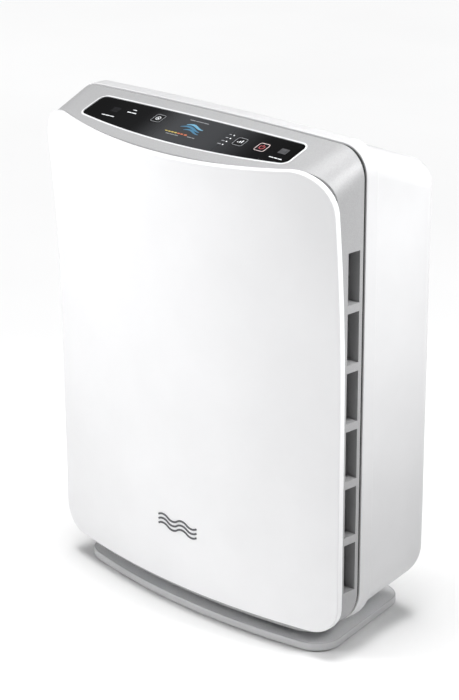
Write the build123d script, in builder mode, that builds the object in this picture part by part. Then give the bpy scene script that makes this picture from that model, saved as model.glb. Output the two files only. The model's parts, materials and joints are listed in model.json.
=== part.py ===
from build123d import *
import os
from math import cos, radians, sin, sqrt, tan

os.makedirs("parts", exist_ok=True)

# Room air purifier: a rear shell with the fan, a silver front housing with the
# side intakes and the control deck, a stack of three filters, and a bowed front
# panel that pulls off. Millimetres. X runs to the right seen from the front,
# Y runs back, Z runs up, and the origin is on the floor in the middle.

# ---- driving dimensions: housing ------------------------------------------
body_width = 430.0  # over the rim, which is the widest part with the panel
rim_low = 25.0  # floor to the rim's lower edge
rim_high = 571.0  # floor to the rim's top edge, at its corners
rim_crown = 3.5  # rise of the top edge in the middle
rim_depth = 18.5
rim_low_radius = 53.0
rim_high_radius = 32.0
rim_wall = 6.0
bulkhead = 3.0  # plate across the rim that the mouldings screw to
seam_y = -21.0  # front face of the rim
seam_gap = 3.4  # groove between the rim and the silver housing
gasket_inset = 2.2
gasket_width = 3.3

# ---- rear shell ------------------------------------------------------------
shell_wall = 2.5
shell_step = 4.0  # the shell stands in from the rim all round
shell_rear_room = 5.0  # motor's rear face to the shell's rear face
shell_side_draw = 5.0  # how much each side draws in towards the rear
shell_foot_draw = 13.0
shell_top_draw = 40.0
shell_low_radius = 50.0
shell_high_radius = 30.0
shell_rear_radius = 20.0
grille_inset = 63.0  # from the side of the rim to the grille's end
grille_depth = 52.0  # along the slope of the shell's top
grille_y = 65.0
grille_thickness = 5.0
grille_border = 4.0
grille_bar = 2.7
grille_pitch = 6.4
grille_ribs = 5

# ---- silver front housing ---------------------------------------------------
deck_tilt = 19.0  # slope of the control deck, down towards the front
housing_wall = 2.5
housing_taper = 5.0  # each side draws in this much over the housing's depth
housing_depth = 105.0
housing_front_radius = 45.0
upper_height = 100.0  # from the rim's top edge down to the joint with the intake frames
sill_top = 72.0
sill_inset = 65.0  # from the side of the rim to the sill's end

# ---- side intakes ------------------------------------------------------------
window_count = 6
window_bar = 9.0  # between two windows
window_foot = 10.0  # sill to the lowest window
window_head = 5.0  # highest window to the upper housing
window_rear = 8.0  # from the seam to the windows' rear edge
window_depth = 17.0
frame_thickness = 15.0

# ---- front panel ---------------------------------------------------------------
panel_low = 33.0
panel_top_drop = 26.5  # from the rim's top edge to the panel's, in the middle, where it is lowest
panel_dip = 15.0  # how much higher the top edge's ends would stand
panel_low_radius = 33.0
panel_high_radius = 43.0
panel_gap = 28.0  # seam to the panel's rear edge, on its straight stretch
panel_edge = 8.4  # depth of the edge band
panel_skin = 3.0
panel_crease = 1.5
panel_clearance = 0.6
bow_foot = 28.0
bow_top = 41.0
flare_start = 291.0
flare_top = 15.6
rib_lowest = 150.0
rib_pitch = 140.0
rib_head = 60.0  # least height of panel above the highest rib
rib_thickness = 2.0

# ---- base ------------------------------------------------------------------------
base_inset = 21.5  # each side of the base stands in from the rim
base_front_y = -50.5  # where the sides meet the front corners' level
base_bow = 24.0
base_rear_margin = 8.0  # the base stands out behind the shell
base_taper = 0.17  # each side draws in by this share of its run
base_front_radius = 31.0
base_rear_radius = 30.0
base_top = 10.5
base_under = 1.5
base_lip = 1.8
base_cover_thickness = 2.0
foot_radius = 9.0
foot_recess = 1.0
foot_inset = 43.5
pedestal_inset = 53.5  # from the side of the base
pedestal_front_inset = 4.5
pedestal_rear_inset = 30.0
pedestal_screw_inset = 22.0
pedestal_wall = 3.0
pedestal_radius = 30.0

# ---- control deck -------------------------------------------------------------------
lens_inset = 62.5  # from the side of the rim to the lens
lens_rear = -20.0  # along the deck, from the seam
lens_front = -57.5
lens_bow = 14.5
lens_radius = 9.0
lens_drop = 0.4
lens_thickness = 2.6
trim_width = 1.8
trim_proud = 0.4
pad_margin = 5.0
pad_thickness = 6.5
key_size = 15.0
key_radius = 3.0
key_gap = 0.35
key_places = {"mode_key": (-50.0, -37.5), "speed_key": (75.5, -42.5), "power_key": (106.0, -42.0)}
key_flange = 1.2
key_flange_top = 4.4
key_flange_thickness = 1.0
key_stem = 7.0  # deck surface to the stem's lower end
display_size = (52.0, 24.0)
display_centre = (6.0, -45.0)
sensor_inset = 38.0  # end of the lens to the light sensor
remote_inset = 18.5  # end of the lens to the remote receiver
window_along = -39.0  # both windows, along the deck
window_size = (11.0, 9.0)
board_drop = 13.0
board_thickness = 1.6
board_width = 44.0
board_end_gap = 4.5
board_along = -42.0
switch_height = 3.6
plunger_height = 1.0

# ---- filters ---------------------------------------------------------------------------
bay_side_room = 14.0  # intake frame to the bay
bay_foot_room = 2.0
bay_head_room = 5.0
bay_wall = 2.5
filter_rear_gap = 4.5
bay_flange = 12.0  # at the sides only
filter_side_gap = 0.8
filter_gap = 1.0
prefilter_front = -2.0  # from the seam, rearwards
prefilter_thickness = 5.0
carbon_thickness = 10.0
hepa_thickness = 35.0
filter_border = 10.0

# ---- fan ------------------------------------------------------------------------------------
fan_height = 161.0  # foot of the bay to the fan's axis
fan_radius = 116.0
fan_inlet_step = 6.0  # blades' inner edge to the inlet ring
fan_front_gap = 6.0
fan_rear_gap = 5.5
fan_width = 46.0
blade_count = 30
blade_depth = 22.0
blade_thickness = 1.6
fan_plate = 2.5
hub_radius = 52.0
hub_wall = 3.0
boss_radius = 12.0
scroll_wall = 2.5
scroll_clearance = 0.2  # scroll walls to the inside of the rear cover
scroll_start_gap = 12.0  # wheel to the scroll wall, at the tongue
scroll_end_gap = 44.0
tongue_angle = 50.0
outlet_inset = 30.0  # from the side of the bay to the outlet duct
motor_rear_gap = 5.0
shaft_radius = 4.0
shaft_fit = 0.02
motor_radius = 42.0
motor_length = 34.0
motor_wall = 2.5
motor_flange_radius = 54.0
motor_flange = 3.0
bearing_radius = 11.0
bearing_width = 7.0
magnet_radius = 27.0
winding_inner_radius = 28.0
cap_thickness = 3.0

# ---- fasteners -----------------------------------------------------------------------------
screw_radius = 1.5
screw_head_radius = 3.2
screw_head = 2.0
screw_boss_radius = 4.5
cover_boss_radius = 6.0
head_room = 0.3  # around a screw's head in its well
thread_fit = 0.05
stud_radius = 4.0
stud_clearance = 0.5
stud_reach = 11.0
socket_radius = 8.0
socket_wall_radius = 11.0

far = 300.0  # longer than any section of the object

# ---- values worked out from the driving dimensions ---------------------------------------------
body_half = body_width / 2
rim_rear_y = seam_y + rim_depth
bulkhead_rear_y = seam_y + bulkhead
joint_z = rim_high - upper_height
frame_inner_half = body_half - frame_thickness
bay_half = frame_inner_half - bay_side_room
bay_low, bay_high = sill_top + bay_foot_room, joint_z - bay_head_room
prefilter_y = seam_y + prefilter_front
carbon_y = prefilter_y + prefilter_thickness + filter_gap
hepa_y = carbon_y + carbon_thickness + filter_gap
bay_rear_y = hepa_y + hepa_thickness + filter_rear_gap + bay_wall
fan_z = bay_low + fan_height
fan_front_y = bay_rear_y + fan_front_gap
fan_rear_y = fan_front_y + fan_width
fan_inlet_radius = fan_radius - blade_depth - fan_inlet_step
scroll_start_radius = fan_radius + scroll_start_gap
scroll_end_radius = fan_radius + scroll_end_gap
scroll_rear_y = fan_rear_y + fan_rear_gap
scroll_depth = scroll_rear_y - bay_rear_y
outlet_half = bay_half - outlet_inset
motor_rear_y = scroll_rear_y + scroll_wall + motor_rear_gap
motor_front_y = motor_rear_y - motor_length
shell_rear_y = motor_rear_y + shell_rear_room
shell_front_half = body_half - shell_step
shell_front_low = rim_low + shell_step
shell_front_high = rim_high - shell_step
shell_rear_half = shell_front_half - shell_side_draw
shell_rear_low = shell_front_low + shell_foot_draw
shell_rear_high = shell_front_high - shell_top_draw
grille_half = body_half - grille_inset
sill_half = body_half - sill_inset
panel_half = body_half
panel_high = rim_high - panel_top_drop
base_half = body_half - base_inset
base_rear_y = shell_rear_y + base_rear_margin
pedestal_half = base_half - pedestal_inset
pedestal_front_y = base_front_y + pedestal_front_inset
pedestal_rear_y = base_rear_y - pedestal_rear_inset
lens_half = body_half - lens_inset
sensor_centre = (sensor_inset - lens_half, window_along)
remote_centre = (lens_half - remote_inset, window_along)
housing_rear_half = body_half - 0.5
deck_slope = tan(radians(deck_tilt))
deck_up = Vector(0, -sin(radians(deck_tilt)), cos(radians(deck_tilt)))
deck_plane = Plane(origin=(0, seam_y, rim_high + rim_crown), x_dir=(1, 0, 0), z_dir=deck_up)
stud_high = joint_z + 34.0
stud_low = sill_top - 22.0


def front_plane(y):
    """Plane at depth y that looks forward, with X and Z as its own axes."""
    return Plane.XZ.offset(-y)


def body_section(y, half, low, high, low_radius, high_radius):
    """Section of the housing at depth y: straight sides and foot, crowned top."""
    with BuildSketch(front_plane(y)) as section:
        with BuildLine():
            Polyline((-half, high), (-half, low), (half, low), (half, high))
            ThreePointArc((half, high), (0, high + rim_crown), (-half, high))
        make_face()
        fillet(section.vertices().group_by(Axis.Y)[0], low_radius)
        fillet(section.vertices().group_by(Axis.Y)[-1], high_radius)
    return section.sketch


def rim_section(y, inset):
    """The rim's own outline at depth y, drawn in by inset."""
    return body_section(
        y,
        body_half - inset,
        rim_low + inset,
        rim_high - inset,
        rim_low_radius - inset,
        rim_high_radius - inset,
    )


def shell_block(inset):
    """Solid inside the rear shell, drawn in by inset, with its rear edge rounded."""
    with BuildPart() as block:
        loft(
            sections=[
                body_section(
                    rim_rear_y - (1 if inset else 0),
                    shell_front_half - inset,
                    shell_front_low + inset,
                    shell_front_high - inset,
                    shell_low_radius - inset,
                    shell_high_radius - inset,
                ),
                body_section(
                    shell_rear_y - inset,
                    shell_rear_half - inset,
                    shell_rear_low + inset,
                    shell_rear_high - inset,
                    shell_low_radius - inset,
                    shell_high_radius - inset,
                ),
            ]
        )
        fillet(block.faces().sort_by(Axis.Y)[-1].edges(), shell_rear_radius - inset)
    return block.part


def housing_section(y, inset):
    """Section of the silver front housing at depth y, on the sloping deck."""
    run = seam_y - y
    share = run / housing_depth
    radius = rim_high_radius + (housing_front_radius - rim_high_radius) * share
    return body_section(
        y,
        housing_rear_half - housing_taper * share - inset,
        rim_low + inset,
        rim_high - deck_slope * run - inset,
        rim_low_radius - inset,
        radius - inset,
    )


def housing_loft(inset, rear_y=seam_y - seam_gap):
    """Whole silver housing from rear_y forward, drawn in by inset."""
    with BuildPart() as block:
        loft(sections=[housing_section(rear_y, inset), housing_section(seam_y - housing_depth, inset)])
    return block.part


def panel_rise(z):
    """Share of the panel's flare reached at height z, squared so that it starts gently."""
    return (max(0.0, z - flare_start) / (panel_high - flare_start)) ** 2


def panel_face(x, z):
    """Depth of the panel's front face at x and z."""
    bow = bow_foot + (bow_top - bow_foot) * panel_rise(z)
    radius = (panel_half**2 + bow**2) / (2 * bow)
    edge = seam_y - panel_gap - panel_edge - flare_top * panel_rise(z)
    return edge - bow + radius - sqrt(radius**2 - x**2)


def slab_section(z, front, back):
    """Level section between two surfaces that lie front and back behind the panel's face."""
    half = panel_half + panel_edge
    side, crest = panel_face(half, z), panel_face(0, z)
    with BuildSketch(Plane.XY.offset(z)) as section:
        with BuildLine():
            ThreePointArc((-half, side + front), (0, crest + front), (half, side + front))
            Line((half, side + front), (half, side + back))
            ThreePointArc((half, side + back), (0, crest + back), (-half, side + back))
            Line((-half, side + back), (-half, side + front))
        make_face()
    return section.sketch


def bowed_slab(front, back):
    """Upright slab between two surfaces parallel to the panel's face."""
    low, high = panel_low - panel_low_radius, panel_high + panel_high_radius
    straight = [low + (flare_start - low) * step / 4 for step in range(4)]
    flared = [flare_start + (high - flare_start) * step / 5 for step in range(6)]
    with BuildPart() as slab:
        loft(sections=[slab_section(z, front, back) for z in straight + flared])
    return slab.part


def panel_block(front, back, inset):
    """Part of the bowed slab inside the panel's front view, drawn in by inset."""
    half, low = panel_half - inset, panel_low + inset
    middle, end = panel_high - inset, panel_high + panel_dip - inset
    with BuildPart() as block:
        add(bowed_slab(front, back))
        with BuildSketch(Plane.XZ) as view:
            with BuildLine():
                Polyline((-half, end), (-half, low), (half, low), (half, end))
                ThreePointArc((half, end), (0, middle), (-half, end))
            make_face()
            fillet(view.vertices().group_by(Axis.Y)[0], panel_low_radius - inset)
            fillet(view.vertices().group_by(Axis.Y)[-1], panel_high_radius - inset)
        extrude(amount=far, both=True, mode=Mode.INTERSECT)
    return block.part


def span_box(low, high, mode=Mode.ADD):
    """Box between two opposite corners."""
    size = [b - a for a, b in zip(low, high)]
    with Locations([tuple((a + b) / 2 for a, b in zip(low, high))]):
        return Box(*size, mode=mode)


def housing_box(inset, half_low, half_high, low, high):
    """The silver housing between two planes in X and two in Z, inset from all but the seam."""
    rear_y = seam_y - seam_gap + (0.5 if inset else 0)
    with BuildPart() as block:
        add(housing_loft(inset, rear_y))
        add(bowed_slab(-far, panel_edge + panel_clearance + inset), mode=Mode.SUBTRACT)
        span_box((half_low, -far, low), (half_high, far, high), mode=Mode.INTERSECT)
    return block.part


def rear_plane(y):
    """Plane at depth y that looks back. Its own X runs to the left, and its Y runs up."""
    return Plane(origin=(0, y, 0), x_dir=(-1, 0, 0), z_dir=(0, 1, 0))


def under_plane(z):
    """Level plane that looks down. Its own Y runs to the front."""
    return Plane(origin=(0, 0, z), x_dir=(1, 0, 0), z_dir=(0, 0, -1))


def rods(plane, length, radius, places):
    """Round rods that stand length out of the plane."""
    with BuildPart() as group:
        with BuildSketch(plane):
            with Locations(*places):
                Circle(radius)
        extrude(amount=length)
    return group.part


def screws(seat, length, places):
    """Pan-head screws: the heads sit on the plane seat and the shanks run length into it."""
    with BuildPart() as group:
        add(rods(seat, screw_head, screw_head_radius, places))
        top = group.edges().group_by(Axis(seat.origin, seat.z_dir))[-1]
        fillet(top, screw_head * 0.4)
        with BuildSketch(seat.offset(screw_head)):
            with Locations(*places):
                Rectangle(screw_head_radius * 1.1, 0.7)
                Rectangle(0.7, screw_head_radius * 1.1)
        extrude(amount=-screw_head / 2, mode=Mode.SUBTRACT)
        add(rods(seat, -length, screw_radius, places))
    return group.part


def both_sides(points):
    """The given places and their mirror images across the middle."""
    return [(side * x, z) for x, z in points for side in (1, -1)]


# ---- base ---------------------------------------------------------------------
def base_outline(inset):
    """Plan of the base: bowed front edge, and sides that draw in towards the rear."""
    half, front, rear = base_half - inset, base_front_y + inset, base_rear_y - inset
    rear_half = half - base_taper * (rear - front)
    with BuildSketch() as plan:
        with BuildLine():
            Polyline((half, front), (rear_half, rear), (-rear_half, rear), (-half, front))
            ThreePointArc((-half, front), (0, front - base_bow), (half, front))
        make_face()
        fillet(plan.vertices().group_by(Axis.Y)[0], base_front_radius - inset)
        fillet(plan.vertices().group_by(Axis.Y)[-1], base_rear_radius - inset)
    return plan.sketch


def pedestal_outline(margin):
    """Plan of the pedestal, grown by margin."""
    with BuildSketch() as plan:
        with Locations((0, (pedestal_front_y + pedestal_rear_y) / 2)):
            RectangleRounded(
                2 * (pedestal_half + margin),
                pedestal_rear_y - pedestal_front_y + 2 * margin,
                pedestal_radius + margin,
            )
    return plan.sketch


cover_seat = base_top - base_cover_thickness
foot_rows = (base_front_y + 10.5, base_rear_y - 29.0)
foot_places = [(side * (base_half - foot_inset), y) for side in (1, -1) for y in foot_rows]
pedestal_middle_y = (pedestal_front_y + pedestal_rear_y) / 2
pedestal_rows = (
    pedestal_front_y + pedestal_screw_inset,
    pedestal_middle_y,
    pedestal_rear_y - pedestal_screw_inset,
)
pedestal_column = pedestal_half - pedestal_screw_inset
pedestal_screw_places = [(side * pedestal_column, y) for side in (1, -1) for y in pedestal_rows]
pedestal_screw_seats = [(x, -y) for x, y in pedestal_screw_places]

with BuildPart() as base_tray:
    extrude(base_outline(0).moved(Location((0, 0, base_under))), amount=base_top - base_under)
    fillet(base_tray.faces().group_by(Axis.Z)[-1].edges(), 1.2)
    fillet(base_tray.faces().group_by(Axis.Z)[0].edges(), 1.2)
    pocket = base_outline(base_lip).moved(Location((0, 0, cover_seat)))
    extrude(pocket, amount=base_cover_thickness, mode=Mode.SUBTRACT)
    feet_seats = rods(Plane.XY.offset(base_under), foot_recess, foot_radius, foot_places)
    add(feet_seats, mode=Mode.SUBTRACT)
    head_level = under_plane(base_under + screw_head + 0.5)
    recess = rods(head_level, far, screw_head_radius + head_room, pedestal_screw_seats)
    add(recess, mode=Mode.SUBTRACT)
    shank = rods(Plane.XY, far, screw_radius + thread_fit, pedestal_screw_places)
    add(shank, mode=Mode.SUBTRACT)
base_tray.part.label = "base_tray"
export_step(base_tray.part, "parts/base_tray.step")

with BuildPart() as base_cover:
    seat_outline = base_outline(base_lip + 0.1).moved(Location((0, 0, cover_seat)))
    extrude(seat_outline, amount=base_cover_thickness - 0.2)
    extrude(pedestal_outline(0.1), amount=far, mode=Mode.SUBTRACT)
base_cover.part.label = "base_cover"
export_step(base_cover.part, "parts/base_cover.step")

with BuildPart() as foot_pads:
    add(rods(Plane.XY, base_under + foot_recess, foot_radius, foot_places))
    fillet(foot_pads.edges().group_by(Axis.Z)[0], 0.6)
foot_pads.part.label = "foot_pads"
export_step(foot_pads.part, "parts/foot_pads.step")

with BuildPart() as pedestal:
    extrude(pedestal_outline(0).moved(Location((0, 0, cover_seat))), amount=sill_top - cover_seat)
    extrude(pedestal_outline(-pedestal_wall), amount=far, mode=Mode.SUBTRACT)
    with BuildPart(mode=Mode.PRIVATE) as posts:
        add(rods(Plane.XY.offset(cover_seat), sill_top - cover_seat, 7.0, pedestal_screw_places))
        for x, y in pedestal_screw_places:
            outer = pedestal_half - pedestal_wall / 2
            low_x, high_x = sorted((x, outer if x > 0 else -outer))
            span_box((low_x, y - 1.5, cover_seat), (high_x, y + 1.5, sill_top))
    add(posts.part)
    add(housing_loft(0, seam_y), mode=Mode.SUBTRACT)
    extrude(rim_section(rim_rear_y, 0), amount=rim_depth, mode=Mode.SUBTRACT)
    add(shell_block(0), mode=Mode.SUBTRACT)
    shank = rods(Plane.XY, cover_seat + 12.0, screw_radius + thread_fit, pedestal_screw_places)
    add(shank, mode=Mode.SUBTRACT)
pedestal.part.label = "pedestal"
export_step(pedestal.part, "parts/pedestal.step")

with BuildPart() as base_screws:
    add(screws(under_plane(base_under + screw_head + 0.5), 14.0, pedestal_screw_seats))
base_screws.part.label = "base_screws"
export_step(base_screws.part, "parts/base_screws.step")

# ---- rim and rear shell -----------------------------------------------------------
bay_screw_inset = 36.0
bay_screw_levels = (bay_low + bay_screw_inset, (bay_low + bay_high) / 2, bay_high - bay_screw_inset)
bay_screw_places = both_sides([(bay_half + 7.0, z) for z in bay_screw_levels])
deck_screw_z = joint_z + 8.5
deck_screw_places = both_sides([(60.0, deck_screw_z), (body_half - 55.0, deck_screw_z)])
window_lowest = sill_top + window_foot
window_stack = joint_z - window_head - window_lowest
window_pitch = (window_stack + window_bar) / window_count
window_height = window_pitch - window_bar
window_lows = [window_lowest + window_pitch * n for n in range(window_count)]
bar_middles = [low - window_bar / 2 for low in window_lows[1:]]
frame_screw_x = body_half - 10.0
frame_screw_places = both_sides([(frame_screw_x, bar_middles[0]), (frame_screw_x, bar_middles[-2])])
sill_screw_places = both_sides([(80.0, sill_top - 14.0)])
housing_screw_places = deck_screw_places + frame_screw_places + sill_screw_places

with BuildPart() as rim_frame:
    extrude(rim_section(rim_rear_y, 0), amount=rim_depth)
    fillet(rim_frame.faces().sort_by(Axis.Y)[0].edges(), 1.0)
    fillet(rim_frame.faces().sort_by(Axis.Y)[-1].edges(), 1.6)
    extrude(rim_section(rim_rear_y, rim_wall), amount=rim_depth - bulkhead, mode=Mode.SUBTRACT)
    span_box((-bay_half, -far, bay_low), (bay_half, far, bay_high), mode=Mode.SUBTRACT)
    hole_places = bay_screw_places + housing_screw_places
    holes = rods(front_plane(far), 2 * far, screw_radius + thread_fit, hole_places)
    add(holes, mode=Mode.SUBTRACT)
rim_frame.part.label = "rim_frame"
export_step(rim_frame.part, "parts/rim_frame.step")

with BuildPart() as seam_gasket:
    extrude(rim_section(seam_y, gasket_inset), amount=seam_gap)
    extrude(rim_section(seam_y, gasket_inset + gasket_width), amount=seam_gap, mode=Mode.SUBTRACT)
seam_gasket.part.label = "seam_gasket"
export_step(seam_gasket.part, "parts/seam_gasket.step")

shell_slope = (shell_front_high - shell_rear_high) / (shell_rear_y - rim_rear_y)
grille_z = shell_front_high + rim_crown - shell_slope * (grille_y - rim_rear_y)
grille_plane = Plane(origin=(0, grille_y, grille_z), x_dir=(1, 0, 0), z_dir=(0, shell_slope, 1))
cover_screw_places = both_sides([(95.0, fan_z - 60.0), (95.0, fan_z + 60.0), (120.0, bay_high - 36.0)])
cover_screw_seat_y = shell_rear_y - 1.0
inlet_place = (85.0 - body_half, 86.0)
inlet_size = (30.0, 22.0)
power_board_z = 58.0
power_board_half = 70.0
power_board_front_y, power_board_rear_y = shell_rear_y - 66.0, shell_rear_y - 14.0
board_post_rows = (power_board_front_y + 6.0, power_board_rear_y - 8.0)
board_post_places = [(side * (power_board_half - 10.0), y) for side in (1, -1) for y in board_post_rows]

with BuildPart() as rear_cover:
    add(shell_block(0))
    add(shell_block(shell_wall), mode=Mode.SUBTRACT)
    with BuildSketch(grille_plane):
        RectangleRounded(2 * grille_half, grille_depth, 8.0)
    extrude(amount=20.0, both=True, mode=Mode.SUBTRACT)
    with BuildSketch(front_plane(shell_rear_y)):
        with Locations(inlet_place):
            Rectangle(*inlet_size)
    extrude(amount=shell_wall * 2, both=True, mode=Mode.SUBTRACT)
    head_wells = rods(rear_plane(cover_screw_seat_y), far, screw_head_radius + head_room, cover_screw_places)
    add(head_wells, mode=Mode.SUBTRACT)
    holes = rods(front_plane(shell_rear_y), 2 * shell_wall, screw_radius + thread_fit, cover_screw_places)
    add(holes, mode=Mode.SUBTRACT)
    with BuildPart(mode=Mode.PRIVATE) as posts:
        add(rods(Plane.XY.offset(rim_low), power_board_z - rim_low, 4.0, board_post_places))
        add(shell_block(shell_wall / 2), mode=Mode.INTERSECT)
        holes = rods(Plane.XY.offset(power_board_z), -8.0, screw_radius + thread_fit, board_post_places)
        add(holes, mode=Mode.SUBTRACT)
    add(posts.part)
rear_cover.part.label = "rear_cover"
export_step(rear_cover.part, "parts/rear_cover.step")

with BuildPart() as outlet_grille:
    with BuildSketch(grille_plane) as pattern:
        RectangleRounded(2 * grille_half - 0.4, grille_depth - 0.4, 7.8)
        inner = (2 * (grille_half - grille_border), grille_depth - 2 * grille_border)
        Rectangle(*inner, mode=Mode.SUBTRACT)
        with GridLocations(0, grille_pitch, 1, int(inner[1] / grille_pitch)):
            Rectangle(inner[0], grille_bar)
        with GridLocations(inner[0] / (grille_ribs + 1), 0, grille_ribs, 1):
            Rectangle(grille_bar, inner[1])
    extrude(amount=25.0, both=True)
    add(shell_block(0.5), mode=Mode.INTERSECT)
    add(shell_block(0.5 + grille_thickness), mode=Mode.SUBTRACT)
outlet_grille.part.label = "outlet_grille"
export_step(outlet_grille.part, "parts/outlet_grille.step")

with BuildPart() as power_inlet:
    with BuildSketch(front_plane(shell_rear_y)):
        with Locations(inlet_place):
            RectangleRounded(inlet_size[0] - 0.2, inlet_size[1] - 0.2, 2.0)
    extrude(amount=20.0)
    with BuildSketch(rear_plane(shell_rear_y)):
        with Locations((-inlet_place[0], inlet_place[1])):
            RectangleRounded(inlet_size[0] + 7.0, inlet_size[1] + 7.0, 3.0)
    extrude(amount=1.8)
    fillet(power_inlet.faces().sort_by(Axis.Y)[-1].edges(), 0.8)
    with BuildSketch(rear_plane(shell_rear_y + 1.8)):
        with Locations((-inlet_place[0], inlet_place[1])):
            RectangleRounded(20.0, 11.0, 5.4)
    extrude(amount=-15.0, mode=Mode.SUBTRACT)
    contacts = [(-inlet_place[0] + side * 4.3, inlet_place[1]) for side in (1, -1)]
    add(rods(rear_plane(shell_rear_y - 13.2), 10.0, 1.2, contacts))
power_inlet.part.label = "power_inlet"
export_step(power_inlet.part, "parts/power_inlet.step")

# ---- silver front housing ---------------------------------------------------------------
stud_places = [(body_half - 95.0, stud_high), (body_half - 95.0, stud_low)]


def stud_face(level):
    """Depth of the panel's front face at a stud's axis."""
    return panel_face(*level)


def socket_bosses(clip):
    """Thick-walled seats for the panel's sockets, cut to the housing solid clip."""
    with BuildPart() as bosses:
        for level in stud_places:
            places = both_sides([level])
            rear = stud_face(level) + panel_edge + panel_clearance + stud_reach + 6.0
            add(rods(front_plane(rear), far, socket_wall_radius, places))
        add(clip, mode=Mode.INTERSECT)
    return bosses.part


def socket_holes():
    """Holes that the sockets sit in."""
    with BuildPart() as holes:
        for level in stud_places:
            rear = stud_face(level) + panel_edge + panel_clearance + stud_reach + 4.0
            add(rods(front_plane(rear), far, socket_radius, both_sides([level])))
    return holes.part


def seam_bosses(places, root_z):
    """Screw bosses that reach forward from the bulkhead, each on a web down or up to root_z."""
    with BuildPart() as bosses:
        add(rods(front_plane(seam_y), 20.0, screw_boss_radius, places))
        for x, z in places:
            low, high = sorted((z, root_z))
            span_box(
                (x - screw_boss_radius, seam_y - seam_gap - 16.0, low),
                (x + screw_boss_radius, seam_y - seam_gap, high),
            )
    return bosses.part


def screw_holes(plane, length, places):
    """Holes for the screws' threads."""
    return rods(plane, length, screw_radius + thread_fit, places)


def lens_outline(margin):
    """Outline of the control lens on the deck, grown by margin."""
    half, rear, front = lens_half + margin, lens_rear + margin, lens_front - margin
    with BuildSketch(deck_plane) as outline:
        with BuildLine():
            Polyline((-half, front), (-half, rear), (half, rear), (half, front))
            ThreePointArc((half, front), (0, front - lens_bow), (-half, front))
        make_face()
        fillet(outline.vertices(), lens_radius + margin)
    return outline.sketch


def deck_rectangle(centre, size, radius=1.0):
    """Rounded rectangle drawn on the deck."""
    with BuildSketch(deck_plane) as outline:
        with Locations(centre):
            RectangleRounded(*size, radius)
    return outline.sketch


def deck_layer(profile, top, bottom):
    """Layer between two depths under the deck, cut to a profile drawn on the deck."""
    with BuildPart() as layer:
        extrude(profile, amount=40.0, both=True)
        add(housing_loft(top), mode=Mode.INTERSECT)
        add(housing_loft(bottom), mode=Mode.SUBTRACT)
    return layer.part


lens_seat = lens_drop + lens_thickness
key_opening = key_size + 2 * (key_flange + 0.6)
board_post_deck_places = [(side * x, -26.0) for side in (1, -1) for x in (22.0, lens_half - 17.5)]
board_under = Plane(
    origin=deck_plane.offset(-board_drop - board_thickness).origin, x_dir=(1, 0, 0), z_dir=-deck_up
)

with BuildPart() as deck_housing:
    add(housing_box(0, -far, far, joint_z, rim_high + far))
    add(housing_box(housing_wall, -far, far, joint_z + housing_wall, rim_high + far), mode=Mode.SUBTRACT)
    add(deck_layer(lens_outline(pad_margin), 1.0, pad_thickness))
    add(socket_bosses(housing_box(0.5, -far, far, joint_z + 0.5, rim_high)))
    add(seam_bosses(deck_screw_places, joint_z + 1.0))
    add(rods(deck_plane.offset(-board_drop), board_drop - housing_wall - 1.0, 3.5, board_post_deck_places))
    add(deck_layer(lens_outline(trim_width), -5.0, lens_seat), mode=Mode.SUBTRACT)
    for x, y in key_places.values():
        extrude(deck_rectangle((x, y), (key_opening, key_opening)), amount=-12.0, mode=Mode.SUBTRACT)
    extrude(deck_rectangle(display_centre, display_size), amount=-12.0, mode=Mode.SUBTRACT)
    for centre in (sensor_centre, remote_centre):
        extrude(deck_rectangle(centre, window_size), amount=-12.0, mode=Mode.SUBTRACT)
    add(socket_holes(), mode=Mode.SUBTRACT)
    add(screw_holes(front_plane(seam_y + 1.0), 15.0, deck_screw_places), mode=Mode.SUBTRACT)
    post_holes = screw_holes(deck_plane.offset(-board_drop - 1.0), 9.0, board_post_deck_places)
    add(post_holes, mode=Mode.SUBTRACT)
deck_housing.part.label = "deck_housing"
export_step(deck_housing.part, "parts/deck_housing.step")

with BuildPart() as intake_frame_right:
    add(housing_box(0, sill_half, far, 0, sill_top))
    add(housing_box(housing_wall, sill_half + housing_wall, far, 0, sill_top - housing_wall), mode=Mode.SUBTRACT)
    add(housing_box(0, frame_inner_half, far, sill_top - housing_wall, joint_z))
    for low in window_lows:
        front_y = seam_y - window_rear - window_depth
        span_box((0, front_y, low), (far, seam_y - window_rear, low + window_height), mode=Mode.SUBTRACT)
    right_places = [place for place in frame_screw_places if place[0] > 0]
    add(rods(front_plane(seam_y), 12.0, screw_boss_radius - 0.5, right_places))
    add(screw_holes(front_plane(seam_y + 1.0), 12.0, right_places), mode=Mode.SUBTRACT)
intake_frame_right.part.label = "intake_frame_right"
export_step(intake_frame_right.part, "parts/intake_frame_right.step")

with BuildPart() as intake_frame_left:
    add(mirror(intake_frame_right.part, about=Plane.YZ, mode=Mode.PRIVATE))
intake_frame_left.part.label = "intake_frame_left"
export_step(intake_frame_left.part, "parts/intake_frame_left.step")

with BuildPart() as sill_frame:
    add(housing_box(0, -sill_half, sill_half, 0, sill_top))
    inner_half = sill_half - housing_wall
    add(housing_box(housing_wall, -inner_half, inner_half, 0, sill_top - housing_wall), mode=Mode.SUBTRACT)
    add(socket_bosses(housing_box(0.5, -inner_half - 1, inner_half + 1, 0, sill_top - 0.5)))
    add(seam_bosses(sill_screw_places, sill_top - 1.0))
    add(socket_holes(), mode=Mode.SUBTRACT)
    add(screw_holes(front_plane(seam_y + 1.0), 15.0, sill_screw_places), mode=Mode.SUBTRACT)
sill_frame.part.label = "sill_frame"
export_step(sill_frame.part, "parts/sill_frame.step")

with BuildPart() as housing_screws:
    add(screws(rear_plane(bulkhead_rear_y), 14.0, housing_screw_places))
housing_screws.part.label = "housing_screws"
export_step(housing_screws.part, "parts/housing_screws.step")

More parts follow.
